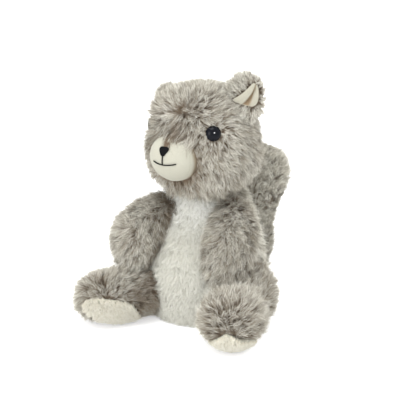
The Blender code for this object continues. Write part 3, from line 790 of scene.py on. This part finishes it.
def makeMouth():
    # the smile and the upright line, each a twisted thread laid a little into the muzzle
    radius = face["thread"] / 2
    across = np.linspace(-face["smileHalf"], face["smileHalf"], 90)
    smile = muzzlePoint(across + face["smileAside"], smileCurve(across), radius * 0.75)
    top = face["noseRise"] - face["noseHalf"][1] * 1.02
    rise = np.linspace(top, smileCurve(face["aside"] - face["smileAside"]), 30)
    upright = muzzlePoint(face["aside"] + 0 * rise, rise, radius * 0.75)
    parts = []
    for line in (smile, upright):
        ring = twistedTube(line, radius)
        parts.append(closedGrid(ring, line[0], line[-1]))
    joined = len(parts[0][0])
    mesh = meshFrom("mouthThread", np.concatenate([parts[0][0], parts[1][0]]),
                    np.concatenate([parts[0][1], parts[1][1] + joined]),
                    np.concatenate([parts[0][2], parts[1][2]]))
    addPiece("mouthThread", mesh, threadBlack, ("mouth_stitch",))


eyeShape = dict(radius=0.0074, height=0.0060, sink=0.0058, shank=0.0022, shankLength=0.018, rim=0.0008,
                rimInset=0.0005)


def makeEyes():
    # revolved dome with its shank, along the head's normal at each eye
    material, nodes, links, shader = newMaterial("eyeGloss", 0.10, 0, 0.15)
    speckle, place = addNodes(nodes, "TexNoise", "TexCoord")
    speckle.inputs["Scale"].default_value = 1400
    colour = socketMix(nodes, links, speckle.outputs["Fac"], (0.001, 0.0015, 0.003, 1), (0.008, 0.009, 0.014, 1))
    wire(links, (place.outputs["Object"], speckle.inputs["Vector"]), (colour, shader.inputs["Base Color"]))
    angle = np.radians(np.linspace(0, 88, 24))
    radius, height, rim = eyeShape["radius"], eyeShape["height"], eyeShape["rim"]
    dome = np.stack([radius * np.cos(angle), rim + (height - rim) * np.sin(angle)], -1)
    stem = np.array([(eyeShape["shank"], -eyeShape["shankLength"]), (eyeShape["shank"], 0.0),
                     (radius - eyeShape["rimInset"], 0.0)])
    profile = np.concatenate([stem, dome])
    turn = 2 * np.pi * np.arange(56) / 56
    for label, node, way in (("eyeLeft", "eye_left", eyeDirs[0]), ("eyeRight", "eye_right", eyeDirs[1])):
        spot = headPoint(way)
        steps = ((0.01, 0, 0), (-0.01, 0, 0), (0, 0, 0.01), (0, 0, -0.01))
        near = [headPoint(unit(way + np.array(step))) for step in steps]
        normal = unit(np.cross(near[0] - near[1], near[2] - near[3]))
        normal = normal if normal @ way > 0 else -normal
        axis = normal @ headAxes
        base = inHead(spot) - axis * eyeShape["sink"]
        side = unit(np.cross(axis, up))
        spoke = side * np.cos(turn)[:, None] + np.cross(axis, side) * np.sin(turn)[:, None]
        rings = base + spoke[None] * profile[:, :1, None] + axis * profile[:, 1:, None]
        grid = closedGrid(rings, base - axis * eyeShape["shankLength"], base + axis * height)
        addPiece(label, meshFrom(label, *grid), material, (node,))


makeMuzzle()
makeNose()
makeMouth()
makeEyes()
washerPlastic = napMaterial("washerPlastic", (0.70, 0.70, 0.67), (0.80, 0.80, 0.77), 700.0, 0.1, sheen=0,
                            shine=0.4)
for label in ("eye_washer_left", "eye_washer_right"):
    washer = bpy.data.objects[label]
    washer.data.materials.clear()
    washer.data.materials.append(washerPlastic)
print("face made")


# ears, each with a folded lining
earLook = dict(headLook, length=0.0074, lean=42, tufts=800, strands=10, clump=0.45, width=0.0005)
liningLeft = dict(middle=(0.64, math.radians(112)), reach=(0.235, math.radians(44)), outline=roundedOutline(
    ((-0.98, -0.98), (0.99, 0.0), (0.90, 0.62), (-0.22, 0.72), (-0.62, 0.46))))
liningRight = dict(middle=(0.62, math.radians(92)), reach=(0.235, math.radians(44)), outline=roundedOutline(
    ((-0.88, 0.50), (0.86, -0.02), (0.72, -0.50), (-0.20, -0.56), (-0.66, -0.30))))


# a lining's fold: its place up the ear, then its offset and slant in shares of the lining's reach
crease = dict(place=0.62, aside=0.02, slant=0.34)


def earFlow(name, panel):
    # out from the middle of the lining and towards the tip
    middle = panelMiddle(name, panel)

    def flow(points, normals):
        return unit(points - middle) + np.array([0, 0, 0.45])

    return flow


for name, panel, node, lining, seed in (("earLeft", liningLeft, "ear_left", "ear_lining_left", 15),
                                        ("earRight", liningRight, "ear_right", "ear_lining_right", 16)):
    grid = addSkin(name + "Skin", shapes[name], earDepth, 26, 44, furBacking, (node,))

    def creaseLine(a, b, side=1 if name == "earLeft" else -1, panel=panel):
        # across the lining from a crease that runs up it: below 0 on the inner flap
        across = (b - panel["middle"][1]) * side / panel["reach"][1]
        return across + crease["aside"] - crease["slant"] * (a - crease["place"]) / panel["reach"][0]

    def fold(distance, a, b):
        # a raised flap on the inner side of the crease, hollow beyond it
        line = creaseLine(a, b)
        return (0.0008 * (1 - smooth(-0.30, -0.02, line)) * (1 - distance ** 4)
                - 0.0034 * smooth(-0.04, 0.04, line) * (1 - smooth(0.02, 0.45, line)) * (1 - distance ** 4))

    def foldPaintedShade(distance, a, b):
        # painted shade: a dark pocket beside the crease, standing for the flap's shadow, wider downwards, over an
        # even painted darkening of the whole lining
        line = creaseLine(a, b)
        wide = 0.08 + 1.5 * np.clip(0.72 - a, 0, 1)
        pocket = smooth(-0.04, 0.02, line) * (1 - smooth(wide * 0.5, wide * 1.3, line))
        return 0.18 + 0.82 * (pocket * (1 - smooth(0.90, 1.0, distance)))

    addPanel(name + "Lining", shapes[name], panel, layers["lining"], creamVelour, (lining,),
             16, 72, fold, foldPaintedShade)
    growFur(name + "Fur", grid, greyFur, dict(earLook, seed=seed), earFlow(name, panel),
            lambda p, a, b, panel=panel: (panelMeasure(panel, a, b) > 1.04) & outside("head", inset=0.006)(p),
            shade=lambda p: np.full(len(p), 0.16))
print("ears made")

# body, arms, legs and tail
bodyLook = dict(headLook, seed=21, tufts=5000, length=0.0108, lean=46, swirl=0.55, swirlSize=0.017, stray=0.28)
belly = dict(middle=(0.555, math.radians(-90)), reach=(0.36, math.radians(62)), taper=0.10)


def downFlow(points, normals):
    # straight down
    return np.tile((0.0, 0.0, -1.0), (len(points), 1))


torsoGrid = addSkin("torsoSkin", shapes["torso"], furDepth, 40, 64, furBacking, ("torso",))


def torsoKeep(points, places, turns):
    # clear of the head, the limbs, the tail, the belly panel and the floor
    free = outside("head", "armLeft", "armRight", "legLeft", "legRight", "tail", inset=0.010)
    return free(points) & (panelMeasure(belly, places, turns) > 1.0) & (points[:, 2] > 0.004)


# painted light and shade: the torso's hair is painted lighter all over, standing in for light on its sides and
# back, and darker against the head and limbs
growFur("torsoFur", torsoGrid, greyFur, dict(bodyLook, spread=0.0019, clump=0.34), downFlow, torsoKeep,
        shade=paintedCreaseShade(("head", "armLeft", "armRight", "legLeft", "legRight"), 0.25, 0.36))

bellySkin, bellyGrid = addPanel("bellySkin", shapes["torso"], belly, layers["belly"], whiteBacking,
                                ("belly_panel",), 24, 72)
bellyLook = dict(headLook, seed=25, tufts=5000, strands=7, length=0.0055, lean=60, leanSpread=7, spread=0.0010,
                 clump=0.45, width=0.0005, swirl=0.45, swirlSize=0.014, tone=0.32, streak=0.35)


def bellyKeep(points, places, turns):
    # clear of the parts that lie over the belly
    return outside("head", "armLeft", "armRight", "legLeft", "legRight", inset=0.010)(points)


def bellyPaintedLight(points):
    # painted light and shade: whitest on the chest, painted light that lifts the shade the head casts there;
    # evenly darker lower down, and darker and tan where it meets the floor, as painted contact shade
    return -0.42 + 1.02 * smooth(0.080, 0.120, points[:, 2]) - 0.35 * (1 - smooth(0.002, 0.014, points[:, 2]))


growFur("bellyFur", bellyGrid, whitePile, bellyLook, downFlow, bellyKeep, shade=bellyPaintedLight)
print("body made")


def alongFlow(name, sign=1.0, drop=0.4, spots=()):
    # along the limb, partly down, and away from its whorls
    centre, _, _, ahead, _, _ = tubeFrame(shapes[name], np.linspace(0.02, 0.98, 20))

    def flow(points, normals):
        near = norm(points[:, None] - centre[None]).argmin(1)
        v = ahead[near] * sign + np.array([0, 0, -drop])
        for spot in spots:
            gap = norm(points - np.array(spot), True)
            v = v + unit(points - np.array(spot)) * 1.3 * bell(gap, 0.020)
        return v

    return flow


def tailFlow(points, normals):
    # out from the tail's middle line and up
    spine = np.stack([0 * points[:, 0], 0.07 + 0.25 * points[:, 2], points[:, 2]], -1)
    return unit(points - spine) * 0.8 + np.array([0, 0.1, 0.8])


soles = {
    "legLeft": dict(middle=(0.80, math.radians(-85)), reach=(0.19, math.radians(52)), outline=roundedOutline(
        ((0.98, 0.45), (0.98, -0.45), (0.0, -1.0), (-0.95, -0.7), (-0.95, 0.7), (0.0, 1.0)))),
    "legRight": dict(middle=(0.66, math.radians(-18)), reach=(0.245, math.radians(40)), outline=roundedOutline(
        ((0.90, 0.62), (0.42, 0.98), (-0.62, 0.56), (-1.0, -0.72), (0.0, -0.80), (0.86, -0.1)))),
}
flows = {
    "armLeft": alongFlow("armLeft", spots=((0.0476, -0.0623, 0.1058), (0.0704, -0.0445, 0.0746))),
    "armRight": alongFlow("armRight", spots=((-0.0457, -0.0669, 0.0886),)),
    "legLeft": alongFlow("legLeft", -0.3, 0.0, spots=((0.080, -0.115, 0.045),)),
    "legRight": alongFlow("legRight", -0.2, 0.5),
    "tail": tailFlow,
}
# each part's hair, the solid that it stands for, and the parts that it lies against
limbs = {
    "armLeft": (dict(bodyLook, seed=31, tufts=2100), ("arm_left",), ("torso", "head", "legLeft")),
    "armRight": (dict(bodyLook, seed=32, tufts=2100), ("arm_right",), ("torso", "head", "legRight")),
    "legLeft": (dict(bodyLook, seed=33, tufts=2800), ("leg_left",), ("torso", "armLeft")),
    "legRight": (dict(bodyLook, seed=34, tufts=2500), ("leg_right",), ("torso", "armRight")),
    "tail": (dict(bodyLook, seed=35, tufts=3800), ("tail",), ("torso", "head")),
}
# tousled spots and painted shade patches: place, size and how dark; the three darkest, on the inner right leg, are
# painted shade beside the belly
whorlsAndShadePatches = {
    "armRight": (((-0.0470, -0.0678, 0.0854), 0.006, 0.30), ((-0.0279, -0.0465, 0.1109), 0.008, 0.35)),
    "armLeft": (((0.0465, -0.0601, 0.1104), 0.006, 0.25), ((0.0461, -0.0681, 0.0894), 0.005, 0.25),
                ((0.0561, -0.0677, 0.0794), 0.006, 0.25), ((0.060, -0.070, 0.050), 0.009, 0.35)),
    "legLeft": (((0.087, -0.109, 0.047), 0.009, 0.30), ((0.052, -0.068, 0.030), 0.010, 0.35)),
    "legRight": (((-0.060, -0.100, 0.050), 0.010, 0.25), ((-0.0225, -0.082, 0.031), 0.017, 0.85),
                 ((-0.0236, -0.072, 0.042), 0.014, 0.85), ((-0.024, -0.083, 0.0155), 0.014, 0.80)),
    "tail": (((0.0278, 0.0704, 0.0942), 0.010, 0.15),),
}
# painted light and shade: how much lighter each part is painted all over (darker below 0), standing in for how
# much light falls on it, and how much painted shade darkens it where it lies against others
paintedPaler = {"tail": 0.22, "armRight": 0.03, "armLeft": -0.03, "legLeft": -0.03, "legRight": 0.06}
creaseShadeDepth = {"tail": 0.05, "armRight": 0.45, "armLeft": 0.45, "legLeft": 0.35, "legRight": 0.5}


def tailUpright(points):
    # the hair of the tail's lobe stands out at its sides
    return 0.30 * smooth(0.100, 0.120, points[:, 2]) * smooth(0.012, 0.028, np.abs(points[:, 0]))


def rimUpright(name):
    # the hair round a sole stands out and frames it
    middle = panelMiddle(name, soles[name])
    return lambda points: 0.38 * bell(norm(points - middle), 0.032)


uprights = {"tail": tailUpright, "legLeft": rimUpright("legLeft"), "legRight": rimUpright("legRight")}


def fromSole(name, flow):
    # near its sole the nap runs away from the sole's middle
    middle = panelMiddle(name, soles[name])

    def mixed(points, normals):
        gap = norm(points - middle, True)
        return unit(flow(points, normals)) + unit(points - middle) * 1.9 * bell(gap, 0.036)

    return mixed


for name, (look, nodes, neighbours) in limbs.items():
    grid = addSkin(name + "Skin", shapes[name], furDepth, 34, 52, furBacking, nodes)
    sole = soles.get(name)

    def keep(points, places, turns, neighbours=neighbours, sole=sole):
        # clear of the neighbours, the floor and the sole
        kept = outside(*neighbours, inset=0.010)(points) & (points[:, 2] > 0.003)
        return kept if sole is None else kept & (panelMeasure(sole, places, turns) > 1.03)

    def trim(points, places, turns, name=name, sole=sole):
        # short where it would lie on the floor, round the soles and at the tail's waist
        height = points[:, 2]
        if name == "tail":
            side = smooth(0.012, 0.028, np.abs(points[:, 0]))
            waist = 1 - 0.5 * bell(height - 0.095, 0.014)
            lobe = 1 + 0.25 * side * smooth(0.108, 0.126, height)
            top = 1 - 0.45 * smooth(0.134, 0.150, height)
            return waist * lobe * top * (0.8 + 0.2 * smooth(0.004, 0.024, height))
        if sole is None:
            return np.ones(len(points))
        floorTrim = 0.62 + 0.38 * smooth(0.006, 0.024, height)
        if name == "legLeft":
            heel = smooth(0.078, 0.092, points[:, 0]) * smooth(-0.075, -0.055, points[:, 1])
            floorTrim = floorTrim * (1 - 0.3 * heel)
        return (0.78 + 0.22 * smooth(1.0, 1.5, panelMeasure(sole, places, turns))) * floorTrim

    flow = flows[name] if sole is None else fromSole(name, flows[name])
    growFur(name + "Fur", grid, greyFur, look, flow, keep, trim,
            paintedCreaseShade(neighbours, creaseShadeDepth[name], paintedPaler[name]), whorlsAndShadePatches[name], upright=uprights.get(name))
    if sole is not None:
        node = "sole_left" if name == "legLeft" else "sole_right"
        solePad, soleGrid = addPanel(name + "Sole", shapes[name], sole, layers["sole"], creamVelour,
                                     (node,))
        soleLook = dict(headLook, seed=look["seed"] + 10, tufts=700, strands=10, length=0.003, lean=40,
                        spread=0.001, clump=0.3, width=0.0004, uneven=0.1)
        growFur(name + "SoleNap", soleGrid, creamNap, soleLook, downFlow)
print("limbs and tail made")

# camera: aimed so that the floor's origin falls on the pixel floorAt
cameraLook = dict(azimuth=30.0, distance=1.0, height=0.39, lens=93.0, sensor=36.0, picture=400,
                  floorAt=(207.0, 307.0))
focal = cameraLook["lens"] / cameraLook["sensor"] * cameraLook["picture"]
azimuth = math.radians(cameraLook["azimuth"])
offAcross, offDown = (math.atan((at - cameraLook["picture"] / 2) / focal) for at in cameraLook["floorAt"])
yaw = azimuth + offAcross
pitch = math.atan2(cameraLook["height"], cameraLook["distance"]) - offDown
cameraData = bpy.data.cameras.new("camera")
cameraData.lens, cameraData.sensor_width = cameraLook["lens"], cameraLook["sensor"]
camera = bpy.data.objects.new("camera", cameraData)
camera.location = (math.sin(azimuth) * cameraLook["distance"], -math.cos(azimuth) * cameraLook["distance"],
                   cameraLook["height"])
camera.rotation_euler = (math.pi / 2 - pitch, 0, yaw)
bpy.context.collection.objects.link(camera)
bpy.context.scene.camera = camera


def addLamp(name, place, target, size, power):
    # round lamp, turned so that it faces its target
    data = bpy.data.lights.new(name, "AREA")
    data.shape, data.size, data.energy = "DISK", size, power
    lamp = bpy.data.objects.new(name, data)
    lamp.location = place
    way = np.array(target) - np.array(place)
    lamp.rotation_euler = (math.atan2(math.hypot(way[0], way[1]), -way[2]), 0, math.atan2(-way[0], way[1]))
    bpy.context.collection.objects.link(lamp)
    return lamp


aim = (0, 0, 0.1)
addLamp("topLamp", (0.1, -0.7, 2.1), aim, 1.4, 17)
addLamp("rearLamp", (0.5, 1.7, 1.1), aim, 1.4, 13)
addLamp("fillLamp", (-0.3, -1.9, 0.55), aim, 1.2, 11)
glint = addLamp("glintLamp", (0.94, -0.76, 0.56), (0.037, -0.051, 0.196), 0.22, 22)
glint.visible_diffuse = False  # only for the spark in the eye

# sky: white where it is seen, mirrored or seen through something, and a little brighter as light
world = bpy.data.worlds.new("studio")
bpy.context.scene.world = world
world.use_nodes = True
wNodes, wLinks = world.node_tree.nodes, world.node_tree.links
backdrop = wNodes["Background"]
ambient, seen, pick, glossy, through = addNodes(wNodes, "Background", "LightPath", "MixShader", "Math", "Math")
for sky, strength in ((backdrop, 1.0), (ambient, 1.04)):
    sky.inputs["Color"].default_value, sky.inputs["Strength"].default_value = (1, 1, 1, 1), strength
glossy.operation = through.operation = "MAXIMUM"
wire(wLinks, (seen.outputs["Is Camera Ray"], glossy.inputs[0]), (seen.outputs["Is Glossy Ray"], glossy.inputs[1]),
     (glossy.outputs[0], through.inputs[0]), (seen.outputs["Is Transmission Ray"], through.inputs[1]),
     (through.outputs[0], pick.inputs[0]), (ambient.outputs[0], pick.inputs[1]),
     (backdrop.outputs[0], pick.inputs[2]), (pick.outputs[0], wNodes["World Output"].inputs[0]))

# floor: pale, with a glow of its own that only the camera sees
floorSize, floorGlow = 8.0, 0.55
floorMesh = meshFrom("floor", np.array([(-1, -1, 0), (1, -1, 0), (1, 1, 0), (-1, 1, 0)]) * floorSize,
                     np.array([0, 1, 2, 3]), np.array([4]))
floor = bpy.data.objects.new("floor", floorMesh)
bpy.context.collection.objects.link(floor)
floorMaterial, fNodes, fLinks, fShader = newMaterial("paleFloor", 0.9)
fShader.inputs["Base Color"].default_value = (0.9, 0.9, 0.9, 1)
glow, addUp, fPath, fScale = addNodes(fNodes, "Emission", "AddShader", "LightPath", "Math")
fScale.operation = "MULTIPLY"
fScale.inputs[1].default_value = floorGlow
wire(fLinks, (fPath.outputs["Is Camera Ray"], fScale.inputs[0]), (fScale.outputs[0], glow.inputs["Strength"]),
     (fShader.outputs[0], addUp.inputs[0]), (glow.outputs[0], addUp.inputs[1]),
     (addUp.outputs[0], fNodes["Material Output"].inputs["Surface"]))
floorMesh.materials.append(floorMaterial)
bpy.context.scene.view_settings.view_transform = "Standard"
print("camera, lamps and floor made")
